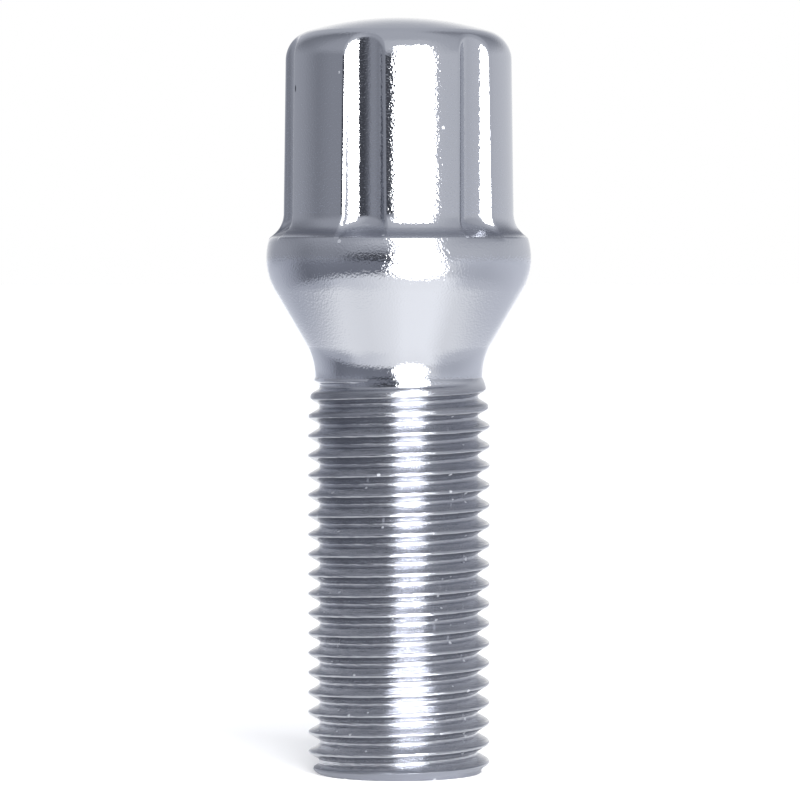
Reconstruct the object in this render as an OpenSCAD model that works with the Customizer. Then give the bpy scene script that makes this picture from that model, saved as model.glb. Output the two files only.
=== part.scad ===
// Wheel bolt with a fluted head, a 60 degree cone seat and an M14 x 1.5 rolled thread.
// One forged piece. It stands on its flat end, with the head up and the Z axis through it.

/* [Thread] */
// Outer diameter of the thread over its crests
thread_d = 13.85; // [12:0.05:16]
// Distance from one crest to the next
pitch = 1.5; // [1.25:0.25:2]
// Height at which the last groove has run out
thread_len = 30.1; // [20:0.1:45]
// Length over which the crests drop to the neck
crest_runout = 1.7; // [1:0.1:3]
// Length over which the groove fades out at its upper end
groove_runout = 1.2; // [0.8:0.1:3]
// Height over which the groove fades in at the end face
groove_lead_in = 1.2; // [0.5:0.1:3]
// Height at which the lowest turn of the groove crosses the +X side
groove_z = 0.13; // [0:0.01:1.25]
// Height of the bevel at the end face
end_bevel = 0.72; // [0.3:0.02:0.9]
// Rounding of the rim of the end face
end_round = 0.3; // [0.1:0.05:0.5]

/* [Neck and seat] */
// How much thinner the neck is than the thread, in diameter
neck_relief = 1.15; // [0.5:0.05:1.6]
// Length of the plain neck between the thread and the hollow under the seat
neck_len = 0.07; // [0:0.01:20]
// Full angle of the conical seat
seat_angle = 60; // [50:1:75]
// Rounding between neck and seat
neck_fillet_r = 4.6; // [2:0.1:5]

/* [Collar] */
// Largest diameter of the collar
collar_d = 20.1; // [17:0.1:24]
// Distance from the large end of the seat to the collar's top edge
collar_len = 4.05; // [2.8:0.05:6]
// Radius of the bulging side of the collar
collar_bulge_r = 5; // [4:0.1:6]
// Rounding of the collar's top edge
collar_edge_r = 0.3; // [0.1:0.05:0.5]
// Fall of the shoulder where it meets the collar's top edge, in degrees
shoulder_fall = 29; // [15:1:40]

/* [Head] */
// How far the collar stands out around the head's foot
ledge = 1.33; // [0.6:0.01:2]
// Draft of the head's side, in degrees
head_draft = 0.6; // [0:0.1:2]
// Height of the head above the collar's top edge
head_len = 16.6; // [12:0.1:24]
// Radius of the domed top
crown_r = 24; // [14:0.5:60]
// Rounding between the side and the domed top
crown_edge_r = 2.3; // [0.5:0.1:3]

/* [Flutes] */
// Number of flutes
flute_count = 6; // [4:1:7]
// Depth of a flute at the middle of the head
flute_depth = 0.81; // [0.3:0.01:1.2]
// Radius of a flute's hollow
flute_r = 2.2; // [1.5:0.1:3]
// Rounding of a flute's two edges
flute_edge_r = 0.4; // [0.1:0.05:0.6]
// Fall of a flute's foot towards the collar, in degrees
flute_foot_fall = 27; // [10:1:35]
// Direction of the first flute from +X, in degrees
flute_turn = 12.3; // [0:0.1:60]

/* [Hidden] */
$fn = 144;

// Radii and heights that follow from the sizes above
crest_r = thread_d / 2;
neck_r = (thread_d - neck_relief) / 2;
half_seat = seat_angle / 2;
shank_len = thread_len + neck_len + neck_fillet_r * tan(half_seat / 2);
collar_r = collar_d / 2;
head_foot_r = collar_r - ledge;

// Rim of the end face: the rounding lies between the end face and the 45 degree bevel
rim_c = [crest_r - end_bevel - end_round * tan(22.5), end_round];

// Hollow between neck and seat
neck_c = [neck_r + neck_fillet_r, shank_len - neck_fillet_r * tan(half_seat / 2)];

// Bulging side of the collar, which starts where the cone touches it
bulge_r = collar_r - collar_bulge_r;
seat_top_r = bulge_r + collar_bulge_r * cos(half_seat);
seat_top = shank_len + (seat_top_r - neck_r) / tan(half_seat);
bulge_c = [bulge_r, seat_top + collar_bulge_r * sin(half_seat)];
collar_top = seat_top + collar_len;
total_len = collar_top + head_len;

// Hollow of the shoulder, which fills the ledge between the head and the collar's edge
ledge_r = bulge_r + sqrt(pow(collar_bulge_r, 2) - pow(collar_top - bulge_c[1], 2));
shoulder_r = (ledge_r - head_foot_r) / (1 - sin(shoulder_fall));
shoulder_c = [head_foot_r + shoulder_r, collar_top + shoulder_r * cos(shoulder_fall)];

// Rounded top edge of the collar, which touches the bulge and the shoulder
edge_c = meet(shoulder_c, shoulder_r + collar_edge_r, bulge_c, collar_bulge_r - collar_edge_r);
edge_from = bearing(bulge_c, edge_c);
edge_to = bearing(edge_c, shoulder_c);

// Domed top of the head and the rounding that joins it to the side
crown_c_r = head_foot_r - (total_len - shoulder_c[1]) * tan(head_draft) - crown_edge_r;
dome_c = [0, total_len - crown_r];
crown_c = [crown_c_r, dome_c[1] + sqrt(pow(crown_r - crown_edge_r, 2) - pow(crown_c_r, 2))];
crown_to = bearing(dome_c, crown_c);

// Flute: a round hollow whose two edges are rounded over onto the head
land_r = head_foot_r - (total_len - collar_top) / 2 * tan(head_draft);
hollow_x = land_r - flute_depth + flute_r;
flute_edge_c = meet([0, 0], land_r - flute_edge_r, [hollow_x, 0], flute_r + flute_edge_r);
flute_edge_from = bearing(flute_edge_c, [hollow_x, 0]);
flute_edge_to = bearing([0, 0], flute_edge_c);
foot_lift = 0.03;
foot_r = edge_c[0];
foot_z = edge_c[1] + collar_edge_r + foot_lift;

// Groove of the thread, after the ISO metric profile
steps = 36;
flank_angle = 30;
full_depth = 0.61343 * pitch;
crest_flat = pitch / 8;
root_r = crest_r - full_depth;
over_r = crest_r + pitch / 12;
lead_in_lift = 0.35 * full_depth;
runout_lift = 0.95 * (over_r - root_r);
groove_low = groove_z - pitch;
groove_steps = ceil((thread_len - groove_low) / pitch * steps);

// Point in a direction from the centre of a circle
function on_circle(centre, r, a) = centre + r * [cos(a), sin(a)];
// Points along an arc, at most arc_step degrees apart
arc_step = 6;
function arc(centre, r, from, to) =
    let (n = ceil(abs(to - from) / arc_step))
    [for (k = [0 : n]) on_circle(centre, r, from + (to - from) * k / n)];
// Direction of a point seen from another, in degrees
function bearing(from, to) = atan2(to[1] - from[1], to[0] - from[0]);
// Point at a distance ra from a and rb from b, on the left of the way from a to b
function meet(a, ra, b, rb) =
    let (d = norm(b - a), u = (b - a) / d, x = (d * d + ra * ra - rb * rb) / (2 * d))
    a + x * u + sqrt(ra * ra - x * x) * [-u[1], u[0]];
// Share between 0 and 1
function share(x) = min(1, max(0, x));
// Height of the cone on which the flutes end, at a radius
function foot_height(r) = foot_z + (foot_r - r) * tan(flute_foot_fall);
// Radius of the groove's root at a height: it fades in at the end face and out at the neck
function root_at(z) =
    root_r
    + lead_in_lift * share(1 - z / groove_lead_in)
    + runout_lift * share(1 - (thread_len - z) / groove_runout);
// Half width of the groove at a radius
function groove_half(r) = (pitch - crest_flat) / 2 + (r - crest_r) * tan(flank_angle);
// Section of the groove at one step of its helix
function groove_section(i) =
    let (a = i * 360 / steps, z = groove_low + pitch * i / steps)
    [for (p = [[over_r, -1], [root_at(z), -1], [root_at(z), 1], [over_r, 1]])
        [p[0] * cos(a), p[0] * sin(a), z + p[1] * groove_half(p[0])]];

// Half of the bolt's section through its axis, without flutes or groove
module outline()
    polygon([
        [0, 0],
        each arc(rim_c, end_round, -90, -45),
        [crest_r, end_bevel],
        [crest_r, thread_len - crest_runout],
        [neck_r, thread_len],
        each arc(neck_c, neck_fillet_r, 180, 180 - half_seat),
        each arc(bulge_c, collar_bulge_r, -half_seat, edge_from),
        each arc(edge_c, collar_edge_r, edge_from, edge_to),
        each arc(shoulder_c, shoulder_r, 180 + edge_to, 180),
        each arc(crown_c, crown_edge_r, head_draft, crown_to),
        each arc(dome_c, crown_r, crown_to, 90)
    ]);

// Section of one flute across the axis, on the +X side
module flute_section() {
    side = arc(flute_edge_c, flute_edge_r, flute_edge_from, flute_edge_to);
    mouth = [[hollow_x, flute_r / 2], for (k = [1 : len(side) - 1]) side[k], [hollow_x, 2 * flute_r]];
    translate([hollow_x, 0]) circle(r = flute_r);
    for (s = [-1, 1]) polygon([[hollow_x, 0], for (p = mouth) [p[0], s * p[1]]]);
}

// All flutes, from the cone on which they end to above the head
module flutes()
    intersection() {
        for (k = [0 : flute_count - 1])
            rotate(flute_turn + k * 360 / flute_count)
                translate([0, 0, shank_len]) linear_extrude(total_len) flute_section();
        rotate_extrude()
            polygon([
                [0, foot_height(0)],
                [2 * collar_r, foot_height(2 * collar_r)],
                [2 * collar_r, 2 * total_len],
                [0, 2 * total_len]
            ]);
    }

// Helical groove between the crests of the thread
module groove() {
    last = 4 * groove_steps;
    polyhedron(
        points = [for (i = [0 : groove_steps]) each groove_section(i)],
        faces = [
            [0, 1, 2, 3],
            for (i = [0 : groove_steps - 1])
                for (k = [0 : 3])
                    let (a = 4 * i + k, b = 4 * i + (k + 1) % 4)
                        each [[a, a + 4, b + 4], [a, b + 4, b]],
            [last + 3, last + 2, last + 1, last]
        ]
    );
}

module wheel_bolt()
    color("silver")
        difference() {
            rotate_extrude() outline();
            flutes();
            groove();
        }

wheel_bolt();
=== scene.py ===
"""Dresses the wheel bolt: one smooth chrome-plated body in place of its solid, and a plain studio.

Lengths are metres. A value in millimetres is written as a number times MM. Angles are degrees.
"""

import math

import bpy
import numpy as np
from bpy.props import FloatProperty, FloatVectorProperty, IntProperty, PointerProperty
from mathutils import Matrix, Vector


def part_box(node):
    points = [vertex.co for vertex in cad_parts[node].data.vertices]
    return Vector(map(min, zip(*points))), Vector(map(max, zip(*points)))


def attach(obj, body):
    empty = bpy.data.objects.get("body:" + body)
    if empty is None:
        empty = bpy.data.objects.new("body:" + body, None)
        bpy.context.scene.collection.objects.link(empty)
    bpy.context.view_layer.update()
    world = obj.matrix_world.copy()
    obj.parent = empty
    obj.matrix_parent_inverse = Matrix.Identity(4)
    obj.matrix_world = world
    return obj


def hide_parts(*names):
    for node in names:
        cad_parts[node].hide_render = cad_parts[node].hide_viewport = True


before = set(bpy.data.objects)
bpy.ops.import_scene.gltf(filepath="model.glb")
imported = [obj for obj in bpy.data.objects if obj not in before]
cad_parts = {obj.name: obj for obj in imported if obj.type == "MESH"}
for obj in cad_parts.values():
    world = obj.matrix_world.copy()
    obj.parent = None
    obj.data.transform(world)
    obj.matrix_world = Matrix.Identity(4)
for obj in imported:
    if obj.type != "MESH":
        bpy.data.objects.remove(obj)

bl_info = {
    "name": "Wheel Bolt",
    "version": (1, 0, 0),
    "blender": (4, 5, 0),
    "location": "View3D > Sidebar > Wheel Bolt",
    "description": "Builds a chrome-plated wheel bolt with a fluted head and the studio around it",
    "category": "Add Mesh",
}

MM = 0.001
NODE = "wheel_bolt"
LOW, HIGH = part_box(NODE)
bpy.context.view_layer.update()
TURN = 2 * math.pi

# Shares of the pitch: rounding of the thread's root and crest, and depth of its groove
ROOT_ARC, CREST_ARC, GROOVE_DEPTH = 0.1443, 0.108, 0.61343
# Angle between the thread's flanks and its axis
FLANK = math.radians(60)

# Settings that many nodes share
SOFT, COLOURS = {"interpolation_type": "SMOOTHSTEP"}, {"data_type": "RGBA"}
TIMES, PLUS, MINUS = {"operation": "MULTIPLY"}, {"operation": "ADD"}, {"operation": "SUBTRACT"}
LARGER, LENGTH = {"operation": "MAXIMUM"}, {"operation": "LENGTH"}

# Levels of the room's light by direction: 0 is the camera's side and 90 the +X side
BACK = [(-172, 1.0), (-165, 0.72)]
RIGHT = [(40, 0.62), (60, 0.6), (97, 0.55), (140, 0.66), (165, 0.75), (172, 1.0)]
LEFT = [(-143, 0.42), (-113, 0.36), (-90, 0.25), (-72, 0.3), (-54, 0.3)]
HORIZON = [*BACK, *LEFT, (-41, 0.15), (-26, 0.07), (-5, 0.07), (2, 0.6), *RIGHT]
WALLS = [*BACK, *LEFT, (-41, 0.36), (-26, 0.31), (-8, 0.3), (2, 0.6), *RIGHT]
CEILING = [
    (-157, 0.48), (-137, 0.22), (-112, 0.28), (-90, 0.38), (-50, 0.42), (-20, 0.58), (0, 0.62),
    (40, 0.62), (60, 0.5), (100, 0.45), (125, 0.36), (145, 0.26), (165, 0.48),
]

# Painted light levels of the paper's outer and inner ring in the same directions
FAR_PAPER = [
    (-172, 1.0), (-160, 0.6), (-135, 0.5), (-110, 0.36), (-90, 0.18), (-72, 0.22), (-56, 0.24),
    (-41, 0.24), (-26, 0.26), (-10, 0.24), (-1, 1.0), (42, 1.0), (60, 0.66), (80, 0.6),
    (150, 0.64), (172, 1.0),
]
NEAR_PAPER = [
    (-172, 1.0), (-160, 0.7), (-140, 0.5), (-90, 0.48), (-74, 0.52), (-62, 0.72), (-52, 0.82),
    (-25, 0.92), (-8, 1.0), (46, 1.0), (62, 0.75), (90, 0.68), (150, 0.64), (172, 1.0),
]

# How much shorter distances count for the inner ring, and how much more light the paper's front gives
NEAR_REACH = [(-172, 1.0), (-90, 1.0), (-72, 0.96), (-26, 0.86), (-8, 0.86), (6, 1.0), (172, 1.0)]
FRONT_LIGHT = [
    (-90, 0.0), (-40, 0.0), (-25, 0.06), (-8, 0.14), (6, 0.25), (42, 0.25), (56, 0.12), (66, 0.0),
]


# Colours and nodes
def linear(code):
    """Linear red, green and blue of an sRGB hex value."""
    levels = [int(code[i : i + 2], 16) / 255 for i in (1, 3, 5)]
    return tuple(c / 12.92 if c <= 0.04045 else ((c + 0.055) / 1.055) ** 2.4 for c in levels)


def add(tree, kind, settings=None, inputs=None):
    """Adds a node, sets its properties, and gives its inputs their values or links.

    An input that is given a node is linked to the first output which that node has in use.
    """
    node = tree.nodes.new("ShaderNode" + kind)
    for name, value in (settings or {}).items():
        setattr(node, name, value)
    for name, value in (inputs or {}).items():
        if isinstance(value, bpy.types.Node):
            value = next(output for output in value.outputs if output.enabled)
        if isinstance(value, bpy.types.NodeSocket):
            tree.links.new(value, node.inputs[name])
        else:
            node.inputs[name].default_value = value
    return node


def set_stops(ramp_node, stops):
    """Gives a colour ramp its stops: pairs of a place from 0 to 1 and a grey level or colour."""
    stops = sorted(stops, key=lambda stop: stop[0])
    points = ramp_node.color_ramp.elements
    while len(points) < len(stops):
        points.new(0.5)
    for point, (place, level) in zip(points, stops):
        point.position = place
        colour = (level,) * 3 if isinstance(level, float) else level
        point.color = (*colour, 1.0)


def blank_tree(owner):
    """Empty node tree of a material or a world."""
    owner.use_nodes = True
    owner.node_tree.nodes.clear()
    return owner.node_tree


# Sizes
class BoltSizes(bpy.types.PropertyGroup):
    """Sizes of the bolt, as on the solid that it dresses."""

    thread_d: FloatProperty(
        name="Thread diameter", description="Over the crests", default=13.85 * MM, unit="LENGTH"
    )
    pitch: FloatProperty(
        name="Pitch", description="From one crest to the next", default=1.5 * MM, unit="LENGTH"
    )
    groove_z: FloatProperty(
        name="Groove start",
        description="Height at which the lowest groove crosses the +X side",
        default=0.13 * MM,
        unit="LENGTH",
    )
    thread_len: FloatProperty(
        name="Thread length", description="To where it has run out", default=30.1 * MM, unit="LENGTH"
    )
    end_bevel: FloatProperty(
        name="End bevel", description="Height of the bevel at the end", default=0.72 * MM, unit="LENGTH"
    )
    end_round: FloatProperty(
        name="End rounding", description="Rounding of the end's rim", default=0.3 * MM, unit="LENGTH"
    )
    neck_relief: FloatProperty(
        name="Neck relief",
        description="How much thinner the neck is than the thread",
        default=1.15 * MM,
        unit="LENGTH",
    )
    neck_len: FloatProperty(
        name="Plain neck", description="Between thread and hollow", default=0.07 * MM, unit="LENGTH"
    )
    neck_fillet: FloatProperty(
        name="Neck fillet", description="Hollow under the seat", default=4.6 * MM, unit="LENGTH"
    )
    seat_angle: FloatProperty(
        name="Seat angle", description="Full angle of the seat", default=math.radians(60), subtype="ANGLE"
    )
    collar_len: FloatProperty(
        name="Collar length", description="Above the seat", default=4.05 * MM, unit="LENGTH"
    )
    collar_bulge: FloatProperty(
        name="Collar bulge", description="Radius of its side", default=5 * MM, unit="LENGTH"
    )
    collar_edge: FloatProperty(
        name="Collar edge", description="Rounding of its top edge", default=0.3 * MM, unit="LENGTH"
    )
    shoulder_fall: FloatProperty(
        name="Shoulder fall", description="At the collar's edge", default=math.radians(29), subtype="ANGLE"
    )
    ledge: FloatProperty(
        name="Ledge", description="From the head's foot to the collar", default=1.33 * MM, unit="LENGTH"
    )
    head_draft: FloatProperty(
        name="Head draft", description="Of the head's side", default=math.radians(0.6), subtype="ANGLE"
    )
    crown_r: FloatProperty(
        name="Dome radius", description="Of the domed top", default=24 * MM, unit="LENGTH"
    )
    crown_edge: FloatProperty(
        name="Dome edge", description="Rounding into the side", default=2.3 * MM, unit="LENGTH"
    )
    flute_count: IntProperty(name="Flutes", description="Number of flutes", default=6, min=1)
    flute_depth: FloatProperty(
        name="Flute depth", description="At the middle of the head", default=0.81 * MM, unit="LENGTH"
    )
    flute_r: FloatProperty(
        name="Flute radius", description="Of the hollow", default=2.2 * MM, unit="LENGTH"
    )
    flute_edge: FloatProperty(
        name="Flute edge", description="How far the edges are rounded", default=0.18 * MM, unit="LENGTH"
    )
    flute_foot: FloatProperty(
        name="Flute foot", description="Fillet at the foot", default=0.6 * MM, unit="LENGTH"
    )
    foot_fall: FloatProperty(
        name="Foot fall", description="Slope of the foot", default=math.radians(27), subtype="ANGLE"
    )
    flute_turn: FloatProperty(
        name="Flute turn", description="First flute from +X", default=math.radians(12.3), subtype="ANGLE"
    )


class BoltFinish(bpy.types.PropertyGroup):
    """Colours and gloss of the plating and of the studio."""

    chrome: FloatVectorProperty(
        name="Chrome", description="Colour of the plating", subtype="COLOR", default=linear("#d8dadf")
    )
    # Painted shade: the groove and flank colours make the whole thread darker than the chrome, most of all
    # on the outer half of its flanks
    groove: FloatVectorProperty(
        name="Groove",
        description="Colour of the thin plating in the thread",
        subtype="COLOR",
        default=linear("#bbbdc3"),
    )
    flank: FloatVectorProperty(
        name="Flank",
        description="Colour of the grimy outer half of the thread's flanks",
        subtype="COLOR",
        default=linear("#aeb0b6"),
    )
    # Painted shade: a darker colour in the corner at the head's foot and on the end's bevel
    painted_shade: FloatVectorProperty(
        name="Painted shade",
        description="Colour of the corner at the head's foot and of the end's bevel",
        subtype="COLOR",
        default=linear("#9b9ea8"),
    )
    pit: FloatVectorProperty(
        name="Pit", description="Colour of the pit on the head", subtype="COLOR", default=linear("#4c505a")
    )
    roughness: FloatProperty(name="Roughness", description="Of the plating", default=0.06, min=0, max=1)
    floor: FloatVectorProperty(
        name="Floor", description="Colour of the floor", subtype="COLOR", default=linear("#e6e6e6")
    )


# Section of the bolt
def bearing(start, end):
    """Direction of a point seen from another, in radians."""
    return math.atan2(end[1] - start[1], end[0] - start[0])


def meet(a, ra, b, rb):
    """Point at a distance ra from a and rb from b, on the left of the way from a to b."""
    way = b - a
    d = np.hypot(*way)
    u = way / d
    x = (d * d + ra * ra - rb * rb) / (2 * d)
    return a + x * u + math.sqrt(ra * ra - x * x) * np.array([-u[1], u[0]])


def arc(centre, radius, start, end, count, hollow=False):
    """Rows along an arc: radius, height and the section's outward direction."""
    angles = np.linspace(start, end, count + 1)
    away = np.stack([np.cos(angles), np.sin(angles)], axis=1)
    return np.hstack([centre + radius * away, -away if hollow else away])


def round_max(a, b, k):
    """The larger of two signed distances, with the corner between them rounded over k."""
    return np.minimum(-k, np.maximum(a, b)) + np.hypot(np.maximum(k + a, 0), np.maximum(k + b, 0))


def round_min(a, b, k):
    """The smaller of two radii, blended where they come within k of each other."""
    return (a + b - np.sqrt((a - b) ** 2 + k * k)) / 2


def round_shares(a, b, k):
    """How much each of two signed distances gives to the direction of round_max."""
    wa, wb = np.maximum(k + a, 0), np.maximum(k + b, 0)
    size = np.hypot(wa, wb)
    corner = size > 0
    wa = np.where(corner, wa / np.maximum(size, 1e-12), (a >= b) * 1.0)
    wb = np.where(corner, wb / np.maximum(size, 1e-12), (a < b) * 1.0)
    return wa[..., None], wb[..., None]


class Section:
    """Radii, heights and centres that follow from the bolt's sizes."""

    def __init__(self, s):
        self.s = s
        self.top = HIGH.z
        self.collar_r = (HIGH.x - LOW.x) / 2
        self.crest_r = s.thread_d / 2
        self.root_r = self.crest_r - GROOVE_DEPTH * s.pitch
        self.neck_r = (s.thread_d - s.neck_relief) / 2
        self.half_seat = s.seat_angle / 2
        self.shank = s.thread_len + s.neck_len + s.neck_fillet * math.tan(self.half_seat / 2)
        self.neck_c = np.array([self.neck_r + s.neck_fillet, s.thread_len + s.neck_len])
        bulge_r = self.collar_r - s.collar_bulge
        seat_top_r = bulge_r + s.collar_bulge * math.cos(self.half_seat)
        seat_top = self.shank + (seat_top_r - self.neck_r) / math.tan(self.half_seat)
        self.bulge_c = np.array([bulge_r, seat_top + s.collar_bulge * math.sin(self.half_seat)])
        self.collar_top = seat_top + s.collar_len
        head_r = self.collar_r - s.ledge
        self.head_r = head_r
        rise = self.collar_top - self.bulge_c[1]
        ledge_r = bulge_r + math.sqrt(s.collar_bulge**2 - rise**2)
        self.shoulder_r = (ledge_r - head_r) / (1 - math.sin(s.shoulder_fall))
        self.shoulder_c = np.array(
            [head_r + self.shoulder_r, self.collar_top + self.shoulder_r * math.cos(s.shoulder_fall)]
        )
        self.edge_c = meet(
            self.shoulder_c,
            self.shoulder_r + s.collar_edge,
            self.bulge_c,
            s.collar_bulge - s.collar_edge,
        )
        crown_c_r = head_r - (self.top - self.shoulder_c[1]) * math.tan(s.head_draft) - s.crown_edge
        self.dome_c = np.array([0, self.top - s.crown_r])
        rise = math.sqrt((s.crown_r - s.crown_edge) ** 2 - crown_c_r**2)
        self.crown_c = np.array([crown_c_r, self.dome_c[1] + rise])
        self.crown_to = bearing(self.dome_c, self.crown_c)
        land_r = head_r - (self.top - self.collar_top) / 2 * math.tan(s.head_draft)
        self.hollow_x = land_r - s.flute_depth + s.flute_r
        self.foot_r = self.edge_c[0]
        self.foot_z = self.edge_c[1] + s.collar_edge

    def rows(self):
        """Rows of the plain body from the neck to the top: radius, height and outward direction."""
        s = self.s
        edge_from = bearing(self.bulge_c, self.edge_c)
        edge_to = bearing(self.edge_c, self.shoulder_c)
        lean = np.array([math.cos(s.head_draft), math.sin(s.head_draft)])
        side_from = np.array([self.head_r, self.shoulder_c[1]])
        side_to = self.crown_c + s.crown_edge * lean
        foot, eaves = 0.12, 0.93
        steps = np.concatenate([np.linspace(0, foot, 13)[1:], np.linspace(foot, eaves, 7)[1:]])
        side = side_from + (side_to - side_from) * steps[:, None]
        dome_in = self.crown_to + 0.06
        parts = [
            arc(self.neck_c, s.neck_fillet, math.pi, math.pi - self.half_seat, 8, True),
            arc(self.bulge_c, s.collar_bulge, -self.half_seat, edge_from, 14),
            arc(self.edge_c, s.collar_edge, edge_from, edge_to, 5)[1:],
            arc(self.shoulder_c, self.shoulder_r, math.pi + edge_to, math.pi, 26, True)[1:],
            np.hstack([side, np.tile(lean, (len(side), 1))]),
            arc(self.crown_c, s.crown_edge, s.head_draft, self.crown_to, 30),
            arc(self.dome_c, s.crown_r, self.crown_to, dome_in, 5)[1:],
            arc(self.dome_c, s.crown_r, dome_in, math.pi / 2, 9)[1:-1],
        ]
        return np.vstack(parts)

    def columns(self):
        """Directions of the columns: close together at the flutes' edges, wide apart on the lands."""
        half = math.degrees(math.pi / self.s.flute_count)
        edge, band = 10.4, 2.2
        marks = [(0, edge - band, 7), (edge - band, edge + band, 9), (edge + band, half, 8)]
        side = np.concatenate([np.linspace(a, b, n + 1)[:-1] for a, b, n in marks])
        one = np.concatenate([side, 2 * half - np.append(side[1:], half)[::-1]])
        turns = np.arange(self.s.flute_count) * 2 * half
        angles = np.radians((turns[:, None] + one[None, :]).ravel()) + self.s.flute_turn
        return np.sort(np.mod(angles, TURN))

    def flute(self, point, angle):
        """Signed distance to the nearest flute's hollow and the direction in which it grows."""
        s = self.s
        each = TURN / s.flute_count
        offset = np.mod(angle - s.flute_turn + each / 2, each) - each / 2
        r, z = point[..., 0], point[..., 1]
        cos, sin = np.cos(offset), np.sin(offset)
        x, y = r * cos - self.hollow_x, r * sin
        far = np.maximum(np.hypot(x, y), 1e-9)
        wall = far - s.flute_r
        foot = (self.foot_z + (self.foot_r - r) * math.tan(s.foot_fall) - z) * math.cos(s.foot_fall)
        ww, wf = round_shares(wall, foot, s.flute_foot)
        across = np.stack([x * cos + y * sin, y * cos - x * sin], -1)
        along_wall = np.concatenate([across / far[..., None], np.zeros_like(far)[..., None]], -1)
        down = np.array([-math.sin(s.foot_fall), 0, -math.cos(s.foot_fall)])
        return round_max(wall, foot, s.flute_foot), ww * along_wall + wf * down

    def profile(self, u):
        """Radius of the plain thread at a distance along the axis from its groove's middle."""
        s = self.s
        v = s.pitch / 2 - u
        root_arc, crest_arc = ROOT_ARC * s.pitch, CREST_ARC * s.pitch
        root_end, crest_end = math.sin(FLANK) * root_arc, math.sin(FLANK) * crest_arc
        root = self.root_r + root_arc - np.sqrt(np.maximum(root_arc**2 - u**2, 0))
        crest = self.crest_r - crest_arc + np.sqrt(np.maximum(crest_arc**2 - v**2, 0))
        flank = self.root_r + root_arc / 2 + (u - root_end) * math.tan(FLANK)
        return np.where(u < root_end, root, np.where(v < crest_end, crest, flank))

    def thread(self, angle, z):
        """Radius of the thread at a direction and a height, with its bevelled end and its run-out."""
        s = self.s
        turns = (z - s.groove_z) / s.pitch - angle / TURN
        off = (turns - np.round(turns)) * s.pitch
        groove = z - off
        depth, lead_in, fade_out, crest_fall = self.crest_r - self.root_r, 1.2 * MM, 0.6 * MM, 3.5 * MM
        lift = 0.35 * depth * np.clip(1 - groove / lead_in, 0, 1)
        lift += 0.7 * depth * np.clip(1 - (s.thread_len - groove) / fade_out, 0, 1)
        # Groove, bevel and run-out blend into the thread over these widths
        soft_groove, soft_bevel, soft_runout = 0.04 * MM, 0.06 * MM, 0.03 * MM
        r = -round_min(-self.profile(np.abs(off)), -(self.root_r + lift), soft_groove)
        bevel = self.crest_r - s.end_bevel + z + 0.02 * MM
        r = round_min(r, bevel, soft_bevel)
        # The crests fall gently at first and steeply at the neck, and no point dips far below the neck
        run = np.clip((z - s.thread_len) / crest_fall + 1, 0, 1)
        runout = self.crest_r - s.neck_relief / 2 * (0.62 * run + 0.38 * run**8) + 0.004 * MM
        r = round_min(r, runout, soft_runout)
        return np.maximum(r, self.neck_r - 0.8 * (s.thread_len - z))


# Mesh
class Skin:
    """Collects the vertices, their outward directions and the faces of one mesh."""

    def __init__(self):
        self.points, self.outward, self.faces = [], [], []
        self.count = 0

    def add(self, radius, angle, height, normal):
        """Adds a run of vertices; normal holds its radial, tangential and upward parts."""
        radius, angle, height = np.broadcast_arrays(radius, angle, height)
        c, s = np.cos(angle), np.sin(angle)
        normal = np.broadcast_to(normal, (len(radius), 3))
        n = normal / np.linalg.norm(normal, axis=1)[:, None]
        self.points.append(np.stack([radius * c, radius * s, height], 1))
        self.outward.append(np.stack([n[:, 0] * c - n[:, 1] * s, n[:, 0] * s + n[:, 1] * c, n[:, 2]], 1))
        first = self.count
        self.count += len(radius)
        return np.arange(first, self.count)

    def band(self, lower, upper):
        """Quads between two rings with as many vertices each."""
        quads = np.stack([lower, np.roll(lower, -1), np.roll(upper, -1), upper], 1)
        self.faces += quads.tolist()

    def zip(self, lower, lower_at, upper, upper_at):
        """Triangles between two rings that have their vertices in different directions."""
        a, b = len(lower), len(upper)
        i = j = 0
        while i < a or j < b:
            next_a = lower_at[(i + 1) % a] + TURN * ((i + 1) // a) if i < a else math.inf
            next_b = upper_at[(j + 1) % b] + TURN * ((j + 1) // b) if j < b else math.inf
            if next_a <= next_b:
                self.faces.append([lower[i % a], lower[(i + 1) % a], upper[j % b]])
                i += 1
            else:
                self.faces.append([lower[i % a], upper[(j + 1) % b], upper[j % b]])
                j += 1

    def fan(self, ring, centre, upward):
        """Triangles from a ring to one vertex."""
        after = np.roll(ring, -1)
        for k in range(len(ring)):
            face = [ring[k], after[k], centre]
            self.faces.append(face if upward else face[::-1])

    def mesh(self, name):
        """The finished mesh, shaded by the outward directions."""
        mesh = bpy.data.meshes.new(name)
        points, outward = np.vstack(self.points), np.vstack(self.outward)
        mesh.from_pydata(points.tolist(), [], [[int(v) for v in f] for f in self.faces])
        mesh.polygons.foreach_set("use_smooth", [True] * len(mesh.polygons))
        mesh.normals_split_custom_set_from_vertices(outward.tolist())
        if mesh.validate():
            raise RuntimeError("the bolt's mesh has faulty faces")
        return mesh


def thread_rows(s):
    """Places of the thread's rows within one pitch, close together on the round root and crest."""
    root, crest = math.sin(FLANK) * ROOT_ARC, 0.5 - math.sin(FLANK) * CREST_ARC
    half = np.concatenate(
        [np.linspace(0, root, 4)[:-1], np.linspace(root, crest, 3)[:-1], np.linspace(crest, 0.5, 4)]
    )
    return np.concatenate([half, 1 - half[-2:0:-1]])


def thread_normal(section, angle, z, r):
    """Outward direction on the thread, from the slope of its radius."""
    step = 0.002 * MM
    up = (section.thread(angle, z + step) - section.thread(angle, z - step)) / (2 * step)
    turn = step / r
    along = (section.thread(angle + turn, z) - section.thread(angle - turn, z)) / (2 * step)
    return np.stack([np.ones_like(r), -along, -up], 1)


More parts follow.
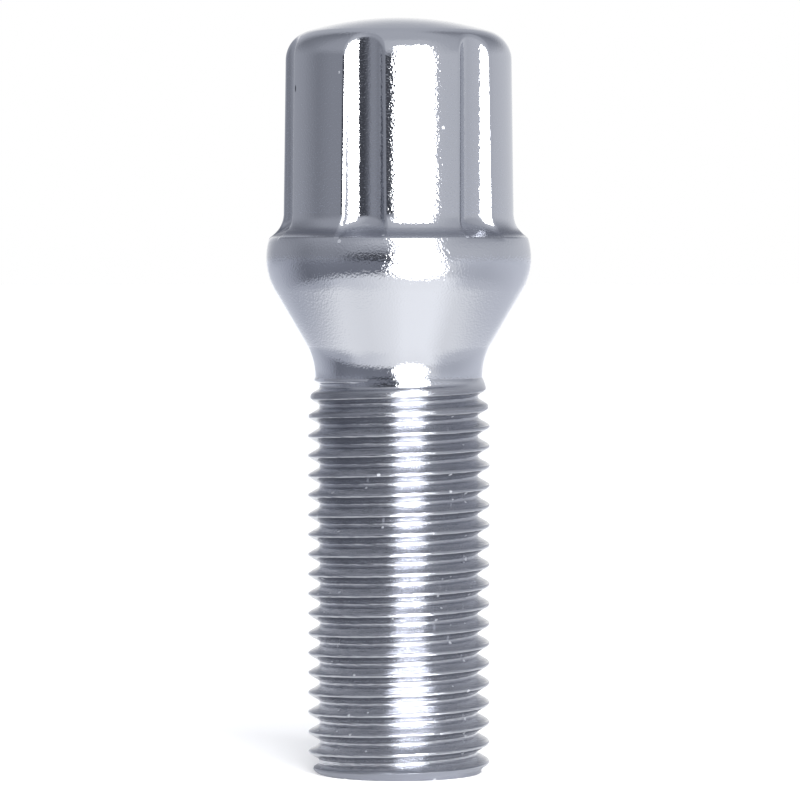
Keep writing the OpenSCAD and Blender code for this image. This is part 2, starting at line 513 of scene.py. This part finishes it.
def build_thread(skin, section, columns=144):
    """Rolled thread from the end face to the neck. Returns its top ring and the ring's directions."""
    s = section.s
    low, high = 0.12 * MM, s.thread_len
    angles = np.arange(columns) * TURN / columns
    within = thread_rows(s)
    per_turn = len(within)
    # Each row climbs one pitch in a turn, so its end meets the start of the row per_turn above it
    first, last = -3, math.ceil(high / s.pitch) + 2
    places = (np.arange(first, last)[:, None] + within[None, :]).ravel()
    raw = s.groove_z + s.pitch * (places[:, None] + angles[None, :] / TURN)
    margin = 0.03 * MM
    lowest = np.full(columns, low)
    bottom_r = section.thread(angles, lowest)
    bottom = skin.add(bottom_r, angles, low, thread_normal(section, angles, lowest, bottom_r))
    top = skin.add(section.neck_r, angles, high, (1, 0, 0))
    free = (raw > low + margin) & (raw < high - margin)
    index = np.where(raw <= low + margin, bottom[None, :], top[None, :])
    angle_of = np.broadcast_to(angles, raw.shape)[free]
    r = section.thread(angle_of, raw[free])
    index[free] = skin.add(r, angle_of, raw[free], thread_normal(section, angle_of, raw[free], r))
    wide = np.hstack([index[:-per_turn], index[per_turn:, :1]])
    for m in range(len(wide) - 1):
        for i in range(columns):
            corners = (wide[m, i], wide[m, i + 1], wide[m + 1, i + 1], wide[m + 1, i])
            face = list(dict.fromkeys(corners))
            if len(face) > 2:
                skin.faces.append(face)
    build_end(skin, section, bottom, angles)
    return top, angles


def build_end(skin, section, ring, angles):
    """Rounded rim and flat face of the threaded end, under the thread's lowest ring."""
    s = section.s
    rim_r = section.crest_r - s.end_bevel - s.end_round * math.tan(math.radians(22.5))
    for fall in np.radians([-45, -60, -75, -90]):
        r, z = rim_r + s.end_round * math.cos(fall), s.end_round * (1 + math.sin(fall))
        lower = skin.add(np.full(len(angles), r), angles, z, (math.cos(fall), 0, math.sin(fall)))
        skin.band(lower, ring)
        ring = lower
    for share in (0.8, 0.4):
        lower = skin.add(np.full(len(angles), rim_r * share), angles, 0.0, (0, 0, -1))
        skin.band(lower, ring)
        ring = lower
    centre = skin.add(np.zeros(1), np.zeros(1), 0.0, (0, 0, -1))
    skin.fan(ring, centre[0], False)


def carve(section, base, inward, sink, angle):
    """How deep the flutes cut into points of the plain body, along each point's inward direction."""
    deepest, halvings = 3 * MM, 40
    near, far = np.zeros_like(sink), np.full_like(sink, deepest)
    for _ in range(halvings):
        middle = (near + far) / 2
        hollow = section.flute(base + inward * middle[..., None], angle)[0]
        outside = round_max(-middle * sink, -hollow, section.s.flute_edge) > 1e-9
        near, far = np.where(outside, middle, near), np.where(outside, far, middle)
    return near


def build_body(skin, section, top, top_at):
    """Neck, seat, collar and fluted head, from the thread's top ring upwards."""
    s = section.s
    rows, angles = section.rows(), section.columns()
    r, z = rows[:, None, 0] + 0 * angles, rows[:, None, 1] + 0 * angles
    nr, nz = rows[:, None, 2] + 0 * angles, rows[:, None, 3] + 0 * angles
    angle = np.broadcast_to(angles, r.shape)
    # Flutes move the points straight in on the side, and more and more downwards over the dome
    tilt = np.where(z > section.crown_c[1], 0.75 * np.arctan2(nz, nr), 0)
    inward = np.stack([-np.cos(tilt), -np.sin(tilt)], -1)
    sink = np.cos(np.arctan2(nz, nr) - tilt)
    base = np.stack([r, z], -1)
    fluted = z > section.collar_top - 1 * MM
    cut = np.where(fluted, carve(section, base, inward, sink, angle), 0)
    point = base + inward * cut[..., None]
    hollow, grows = section.flute(point, angle)
    w_body, w_flute = round_shares(-cut * sink, -hollow, s.flute_edge)
    plain = np.stack([nr, 0 * nr, nz], -1)
    normal = np.where(cut[..., None] > 1e-8, w_body * plain - w_flute * grows, plain)
    ring, ring_at = top, top_at
    for k in range(len(rows)):
        upper = skin.add(point[k, :, 0], angles, point[k, :, 1], normal[k])
        if k:
            skin.band(ring, upper)
        else:
            skin.zip(ring, ring_at, upper, angles)
        ring = upper
    centre = skin.add(np.zeros(1), np.zeros(1), section.top, (0, 0, 1))
    skin.fan(ring, centre[0], True)


# Finish
def edge(whole, gone):
    """Ends of a soft edge: 1 where a value is at whole, falling to 0 where it is at gone."""
    if whole > gone:
        return {"From Min": gone, "From Max": whole}
    return {"From Min": whole, "From Max": gone, "To Min": 1.0, "To Max": 0.0}


def corner_shade(tree, section, out, height):
    """1 in the corner between the head's foot and the collar's top, where shade is painted, and 0 around
    it.
    """
    top, side = section.collar_top, section.collar_r
    low = add(tree, "MapRange", SOFT, {"Value": height, **edge(top + 0.3 * MM, top + 0.9 * MM)})
    inner = add(tree, "MapRange", SOFT, {"Value": out, **edge(side - 0.7 * MM, side - 0.2 * MM)})
    above = add(tree, "MapRange", SOFT, {"Value": height, **edge(top, top - 0.2 * MM)})
    corner = add(tree, "Math", TIMES, {0: low, 1: inner})
    return add(tree, "Math", TIMES, {0: corner, 1: above})


def shade_places(tree, finish, section, out, height):
    """Colour, dullness and the thread's share, with painted shade: darker in the thread's grooves and
    flanks, in the corner at the head's foot and on the end's bevel.
    """
    crest, end = section.crest_r, section.s.thread_len
    down = add(tree, "MapRange", inputs={"Value": out, "From Min": section.root_r, "From Max": crest})
    # Painted shade: the whole thread is darker than the chrome, most of all on the outer half of its
    # flanks
    depth = add(tree, "ValToRGB", inputs={"Fac": down})
    groove, flank = tuple(finish.groove), tuple(finish.flank)
    set_stops(depth, [(0.4, groove), (0.58, flank), (0.85, flank), (0.95, groove)])
    thread = add(tree, "MapRange", SOFT, {"Value": height, **edge(end - 1.2 * MM, end - 0.2 * MM)})
    colour = add(tree, "Mix", COLOURS, {0: thread, 6: (*finish.chrome, 1), 7: depth})
    deep = add(tree, "MapRange", SOFT, {"Value": out, **edge(crest - 0.3 * MM, crest - 0.06 * MM)})
    deeper = add(tree, "Math", TIMES, {0: thread, 1: deep})
    dull = add(tree, "Math", TIMES, {0: deeper, 1: 0.33})
    # Painted shade on the end's bevel and in the corner at the head's foot
    bevel = add(tree, "MapRange", SOFT, {"Value": height, **edge(0.6 * MM, 0.9 * MM)})
    shadowed = add(tree, "Math", LARGER, {0: corner_shade(tree, section, out, height), 1: bevel})
    colour = add(tree, "Mix", COLOURS, {0: shadowed, 6: colour, 7: (*finish.painted_shade, 1)})
    return colour, add(tree, "Math", LARGER, {0: dull, 1: shadowed}), thread


def nicks(tree, place, often):
    """Small bright nicks from handling, scattered over the surface: 1 in a nick and 0 around it."""
    spacing, smallest, larger = 1.1 * MM, 0.055, 0.08
    cells = add(tree, "TexVoronoi", inputs={"Vector": place, "Scale": 1 / spacing})
    chosen = add(tree, "SeparateColor", inputs={"Color": cells.outputs["Color"]})
    few = add(tree, "Math", {"operation": "GREATER_THAN"}, {0: chosen.outputs["Red"], 1: often})
    growth = add(tree, "Math", TIMES, {0: chosen.outputs["Green"], 1: larger})
    size = add(tree, "Math", PLUS, {0: growth, 1: smallest})
    dot = add(tree, "Math", {"operation": "LESS_THAN"}, {0: cells.outputs["Distance"], 1: size})
    return add(tree, "Math", TIMES, {0: few, 1: dot})


def pit(tree, place):
    """The one dark pit, high on a land at the left: 1 in the pit and 0 around it."""
    centre, stretch = (-7.74 * MM, -3.73 * MM, 51.85 * MM), (1, 1, 0.4)
    off = add(tree, "VectorMath", MINUS, {0: place, 1: centre})
    oval = add(tree, "VectorMath", TIMES, {0: off, 1: stretch})
    far = add(tree, "VectorMath", LENGTH, {0: oval})
    return add(tree, "MapRange", SOFT, {"Value": far, **edge(0.06 * MM, 0.14 * MM)})


def uneven_gloss(tree, finish, place, dull, nick):
    """Roughness: slightly uneven, duller deep in the thread and where shade is painted, and matt in a
    nick.
    """
    wave_size, plain, nicked = 2.5 * MM, finish.roughness, 0.6
    wave = add(tree, "TexNoise", inputs={"Vector": place, "Scale": 1 / wave_size, "Detail": 3.0})
    ends = {"From Min": 0.3, "From Max": 0.7, "To Min": plain * 0.8, "To Max": plain * 1.3}
    uneven = add(tree, "MapRange", inputs={"Value": wave.outputs["Fac"], **ends})
    rough = add(tree, "MapRange", inputs={"Value": dull, "To Min": uneven, "To Max": plain * 7})
    matt = add(tree, "Math", TIMES, {0: nick, 1: nicked})
    return add(tree, "Math", LARGER, {0: rough, 1: matt})


def grain_bump(tree, section, place, height, thread):
    """Normal with a fine grain, strongest on the collar, and with marks along the thread's turns."""
    size, along_turns, top = 0.16 * MM, (0.12, 0.12, 2.5), section.collar_top
    grain = add(tree, "TexNoise", inputs={"Vector": place, "Scale": 1 / size, "Detail": 1.0})
    drawn = add(tree, "VectorMath", TIMES, {0: place, 1: along_turns})
    marks = add(tree, "TexNoise", inputs={"Vector": drawn, "Scale": 1 / size})
    below = add(tree, "MapRange", SOFT, {"Value": height, **edge(top, top + 1 * MM)})
    above = add(tree, "MapRange", SOFT, {"Value": height, **edge(top - 4 * MM, top - 6 * MM)})
    collar = add(tree, "Math", TIMES, {0: below, 1: above})
    either = {0: thread, 6: grain.outputs["Fac"], 7: marks.outputs["Fac"]}
    relief = add(tree, "Mix", COLOURS, either)
    strength = add(tree, "MapRange", inputs={"Value": collar, "To Min": 0.6, "To Max": 0.95})
    depths = {"Value": thread, "To Min": 0.018 * MM, "To Max": 0.05 * MM}
    depth = add(tree, "MapRange", inputs=depths)
    return add(tree, "Bump", inputs={"Height": relief, "Strength": strength, "Distance": depth})


def chrome_plate(finish, section):
    """Bright chrome plating on forged steel: a grey mirror that is slightly blue.

    The blasted steel under it leaves a fine grain that breaks up the edges of highlights, most of all
    on the collar. The rolled thread has fine marks along its turns instead. Deep in the thread the
    colour is darker, which is painted shade, and the plating is duller there. Shade is also painted
    in the corner at the head's foot and on the end's bevel.
    """
    material = bpy.data.materials.new("chrome_plate")
    tree = blank_tree(material)
    place = add(tree, "TexCoord").outputs["Object"]
    height = add(tree, "SeparateXYZ", inputs={"Vector": place}).outputs["Z"]
    flat = add(tree, "VectorMath", TIMES, {0: place, 1: (1, 1, 0)})
    out = add(tree, "VectorMath", LENGTH, {0: flat})
    colour, dull, thread = shade_places(tree, finish, section, out, height)
    often = add(tree, "MapRange", inputs={"Value": thread, "To Min": 0.95, "To Max": 0.35})
    nick = nicks(tree, place, often)
    colour = add(tree, "Mix", COLOURS, {0: nick, 6: colour, 7: (*finish.chrome, 1)})
    colour = add(tree, "Mix", COLOURS, {0: pit(tree, place), 6: colour, 7: (*finish.pit, 1)})
    shader = add(
        tree,
        "BsdfPrincipled",
        inputs={
            "Base Color": colour,
            "Metallic": 1.0,
            "Roughness": uneven_gloss(tree, finish, place, dull, nick),
            "Normal": grain_bump(tree, section, place, height, thread),
        },
    )
    add(tree, "OutputMaterial", inputs={"Surface": shader})
    return material


# Studio
def place_at(bearing_deg):
    """Place on a round ramp of a direction: 0 is the camera's side, 90 is the +X side."""
    return (bearing_deg / 360 + 0.25) % 1


def tone(level):
    """Grey of a level, slightly blue as the room's light is in its darker parts."""
    tint = max(1 - level, 0)
    return (level * (1 - 0.06 * tint), level, level * (1 + 0.2 * tint))


def round_ramp(tree, way, levels):
    """Values by direction round the bolt, from pairs that hold the direction -90, where it starts."""
    around = add(tree, "TexGradient", {"gradient_type": "RADIAL"}, {"Vector": way})
    ramp = add(tree, "ValToRGB", inputs={"Fac": around.outputs["Fac"]})
    stops = [(place_at(bearing_deg), level) for bearing_deg, level in levels]
    set_stops(ramp, [*stops, (1.0, dict(levels)[-90])])
    return ramp


def round_light(tree, way, levels):
    """Light by direction round the bolt."""
    return round_ramp(tree, way, [(bearing_deg, tone(level)) for bearing_deg, level in levels])


def build_world():
    """Soft room light: grey on the left, paler on the right, and a white backdrop behind the bolt."""
    world = bpy.data.worlds.new("studio")
    bpy.context.scene.world = world
    tree = blank_tree(world)
    way = add(tree, "TexCoord").outputs["Generated"]
    height = add(tree, "SeparateXYZ", inputs={"Vector": way}).outputs["Z"]
    light = round_light(tree, way, HORIZON)
    # Each layer comes in between two heights of a direction, of which straight up is 1
    layers = [
        (0.06, 0.16, round_light(tree, way, WALLS)),
        (0.12, 0.5, round_light(tree, way, CEILING)),
        (0.85, 0.97, (*tone(0.5), 1)),
    ]
    for start, full, layer in layers:
        share = add(tree, "MapRange", SOFT, {"Value": height, **edge(full, start)})
        light = add(tree, "Mix", COLOURS, {0: share, 6: light, 7: layer})
    shine = add(tree, "Background", inputs={"Color": light, "Strength": 1.0})
    add(tree, "OutputWorld", inputs={"Surface": shine})


def painted_paper_light(tree, place, far):
    """Painted light of the paper by direction and distance: a near ring, a far one, and the horizon's
    beyond.
    """
    reach = add(tree, "Math", TIMES, {0: round_ramp(tree, place, NEAR_REACH), 1: far})
    inner = add(tree, "MapRange", SOFT, {"Value": reach, **edge(62 * MM, 88 * MM)})
    outer_ring, inner_ring = round_light(tree, place, FAR_PAPER), round_light(tree, place, NEAR_PAPER)
    rings = add(tree, "Mix", COLOURS, {0: inner, 6: outer_ring, 7: inner_ring})
    nearby = add(tree, "MapRange", SOFT, {"Value": far, **edge(250 * MM, 900 * MM)})
    return add(tree, "Mix", COLOURS, {0: nearby, 6: round_light(tree, place, HORIZON), 7: rings})


def painted_pool_and_lane(tree, place, far):
    """1 on the white pool round the bolt and the white lane behind it, and 0 beside them, where the paper
    takes painted light and shade.
    """
    pool, lane, spread = 33 * MM, 33 * MM, 0.092
    across = add(tree, "SeparateXYZ", inputs={"Vector": place})
    x, y = across.outputs["X"], across.outputs["Y"]
    side = add(tree, "Math", {"operation": "ABSOLUTE"}, {0: x})
    widening = add(tree, "Math", TIMES, {0: y, 1: spread})
    beside = add(tree, "Math", MINUS, {0: side, 1: widening})
    inside = add(tree, "MapRange", SOFT, {"Value": beside, **edge(lane, lane * 1.7)})
    behind = add(tree, "MapRange", SOFT, {"Value": y, **edge(-18 * MM, -36 * MM)})
    white_lane = add(tree, "Math", TIMES, {0: inside, 1: behind})
    white_pool = add(tree, "MapRange", SOFT, {"Value": far, **edge(pool, pool + 4 * MM)})
    return add(tree, "Math", LARGER, {0: white_pool, 1: white_lane})


def own_light(tree, place, far):
    """Strength of the paper's own light, which the camera and reflections see: more of it far out."""
    far_out = 1.6
    path = add(tree, "LightPath")
    seen = path.outputs["Is Camera Ray"]
    for ray in ("Is Glossy Ray", "Is Transmission Ray"):
        seen = add(tree, "Math", LARGER, {0: seen, 1: path.outputs[ray]})
    ends = {"From Max": far_out, "To Min": 0.41, "To Max": 0.66}
    share = add(tree, "MapRange", SOFT, {"Value": far, **ends})
    near = add(tree, "MapRange", SOFT, {"Value": far, **edge(66 * MM, 88 * MM)})
    front = add(tree, "Math", TIMES, {0: round_ramp(tree, place, FRONT_LIGHT), 1: near})
    strength = add(tree, "Math", PLUS, {0: share, 1: front})
    return add(tree, "Math", TIMES, {0: seen, 1: strength})


def matt_paper(finish):
    """Matt studio paper with painted light: white round the bolt and behind it, with painted greyer shade
    at the sides.

    Part of its light is its own for the camera and in reflections, so that it looks white and still
    takes the bolt's shadow.
    """
    material = bpy.data.materials.new("matt_paper")
    tree = blank_tree(material)
    place = add(tree, "TexCoord").outputs["Object"]
    far = add(tree, "VectorMath", LENGTH, {0: place})
    white, rings = painted_pool_and_lane(tree, place, far), painted_paper_light(tree, place, far)
    # Painted light and shade: the paper's colour, which both its matt colour and its glow take
    paper = add(tree, "Mix", COLOURS, {0: white, 6: rings, 7: (1, 1, 1, 1)})
    dye = {**COLOURS, "blend_type": "MULTIPLY"}
    dyed = add(tree, "Mix", dye, {0: 1.0, 6: paper, 7: (*finish.floor, 1)})
    matt = add(tree, "BsdfDiffuse", inputs={"Color": dyed, "Roughness": 1.0})
    glow = add(tree, "Emission", inputs={"Color": paper, "Strength": own_light(tree, place, far)})
    total = add(tree, "AddShader", inputs={0: matt, 1: glow})
    add(tree, "OutputMaterial", inputs={"Surface": total})
    return material


def build_floor(finish):
    """Wide round sheet of paper that the bolt stands on."""
    radius, columns = 4.0, 96
    ring = [
        (radius * math.cos(TURN * k / columns), radius * math.sin(TURN * k / columns), 0)
        for k in range(columns)
    ]
    mesh = bpy.data.meshes.new("floor")
    mesh.from_pydata(ring, [], [list(range(columns))])
    mesh.materials.append(matt_paper(finish))
    floor = bpy.data.objects.new("floor", mesh)
    bpy.context.scene.collection.objects.link(floor)


def build_lamps():
    """Softbox to the right of the camera, brighter at its foot and its top, and two panels on the floor.

    Each lamp has its two sizes, its place, its tilt and the level that a mirror sees in it.
    """
    side, half_wide, away = math.radians(16), math.radians(19.5), 0.7
    wide, strip, tall, head = 2 * away * math.tan(half_wide), 0.11, 0.36, 0.19
    toward = Vector((math.sin(side), -math.cos(side), 0))
    near, far = 62 * MM, 400 * MM
    lift = Vector((0, 0, 3 * MM))

    def upright(height):
        return toward * away + Vector((0, 0, height + 2 * MM))

    lamps = [
        ("softbox_top", "RECTANGLE", wide, head, upright(strip + tall + head / 2), 90, 10.0),
        ("softbox", "RECTANGLE", wide, tall, upright(strip + tall / 2), 90, 2.4),
        ("strip", "RECTANGLE", wide, strip, upright(strip / 2), 90, 15.0),
        ("low_panel", "ELLIPSE", 0.14, far - near, toward * (near + far) / 2 + lift, 180, 5.0),
        ("foot_panel", "RECTANGLE", 10 * MM, 5 * MM, toward * 11.5 * MM + lift, 180, 8.0),
    ]
    for name, shape, size, size_y, place, tilt, level in lamps:
        lamp = bpy.data.lights.new(name, "AREA")
        lamp.shape, lamp.size, lamp.size_y = shape, size, size_y
        area = size * size_y * (math.pi / 4 if shape == "ELLIPSE" else 1)
        lamp.energy = level * math.pi * area
        box = bpy.data.objects.new(name, lamp)
        box.location = place
        box.rotation_euler = (math.radians(tilt), 0, side)
        box.visible_camera = False
        bpy.context.scene.collection.objects.link(box)


def build_camera():
    """Camera on the photograph's side of the bolt, level with its collar and tilted slightly down."""
    view = bpy.data.cameras.new("camera")
    view.sensor_width = 36
    view.lens = 217.1
    view.clip_start, view.clip_end = 0.01, 50
    camera = bpy.data.objects.new("camera", view)
    camera.location = (0, -0.366, 40.5 * MM)
    camera.rotation_euler = (math.radians(90 - 1.9), 0, math.radians(-0.015))
    bpy.context.scene.collection.objects.link(camera)
    bpy.context.scene.camera = camera


# Operators and panel
class WHEELBOLT_OT_body(bpy.types.Operator):
    """Builds the smooth bolt in place of its solid"""

    bl_idname = "wheelbolt.body"
    bl_label = "Build Bolt"

    def execute(self, context):
        scene = context.scene
        section = Section(scene.bolt_sizes)
        skin = Skin()
        top, top_at = build_thread(skin, section)
        build_body(skin, section, top, top_at)
        mesh = skin.mesh("bolt_body")
        mesh.materials.append(chrome_plate(scene.bolt_finish, section))
        bolt = bpy.data.objects.new("bolt_body", mesh)
        scene.collection.objects.link(bolt)
        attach(bolt, "root")
        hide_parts(NODE)
        return {"FINISHED"}


class WHEELBOLT_OT_stage(bpy.types.Operator):
    """Builds the floor, the light and the camera"""

    bl_idname = "wheelbolt.stage"
    bl_label = "Build Studio"

    def execute(self, context):
        build_world()
        build_floor(context.scene.bolt_finish)
        build_lamps()
        build_camera()
        context.scene.view_settings.view_transform = "Standard"
        return {"FINISHED"}


class WHEELBOLT_PT_panel(bpy.types.Panel):
    """Lists the bolt's sizes, its finish and its operators"""

    bl_idname = "WHEELBOLT_PT_panel"
    bl_label = "Wheel Bolt"
    bl_space_type = "VIEW_3D"
    bl_region_type = "UI"
    bl_category = "Wheel Bolt"

    def draw(self, context):
        for group in (context.scene.bolt_sizes, context.scene.bolt_finish):
            column = self.layout.column()
            for name in group.__annotations__:
                column.prop(group, name)
        self.layout.operator(WHEELBOLT_OT_body.bl_idname)
        self.layout.operator(WHEELBOLT_OT_stage.bl_idname)


CLASSES = (BoltSizes, BoltFinish, WHEELBOLT_OT_body, WHEELBOLT_OT_stage, WHEELBOLT_PT_panel)


def register():
    for one in CLASSES:
        bpy.utils.register_class(one)
    bpy.types.Scene.bolt_sizes = PointerProperty(type=BoltSizes)
    bpy.types.Scene.bolt_finish = PointerProperty(type=BoltFinish)


def unregister():
    del bpy.types.Scene.bolt_finish
    del bpy.types.Scene.bolt_sizes
    for one in reversed(CLASSES):
        bpy.utils.unregister_class(one)


def main():
    """Builds everything in order."""
    register()
    bpy.ops.wheelbolt.body()
    bpy.ops.wheelbolt.stage()


if __name__ == "__main__":
    main()
